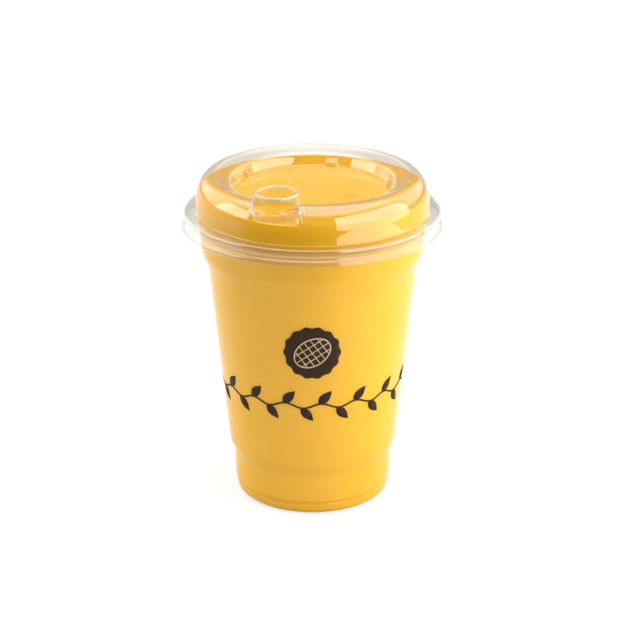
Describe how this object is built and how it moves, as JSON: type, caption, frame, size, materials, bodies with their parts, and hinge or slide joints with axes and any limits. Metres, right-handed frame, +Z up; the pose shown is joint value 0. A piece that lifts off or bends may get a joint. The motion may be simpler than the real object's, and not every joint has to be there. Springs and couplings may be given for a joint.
{
  "type": "mango smoothie in a clear takeaway cup",
  "caption": "Mango smoothie filling a clear tapered takeaway cup, under a clear lid with a raised ring and a round sip spout.",
  "frame": {"origin": "centre of the cup's foot, on the surface it stands on", "axes": "+Z up along the cup's axis; -Y towards the printed front; the sip spout is at the front, on the -X side"},
  "size_m": [0.103, 0.103, 0.1325],
  "materials": {
    "clear_cup": "clear glossy plastic",
    "mango_smoothie": "smooth thick fruit drink",
    "clear_lid": "clear glossy plastic"
  },
  "bodies": {
    "root": {"cup": "clear_cup", "smoothie": "mango_smoothie", "lid": "clear_lid"}
  },
  "joints": []
}
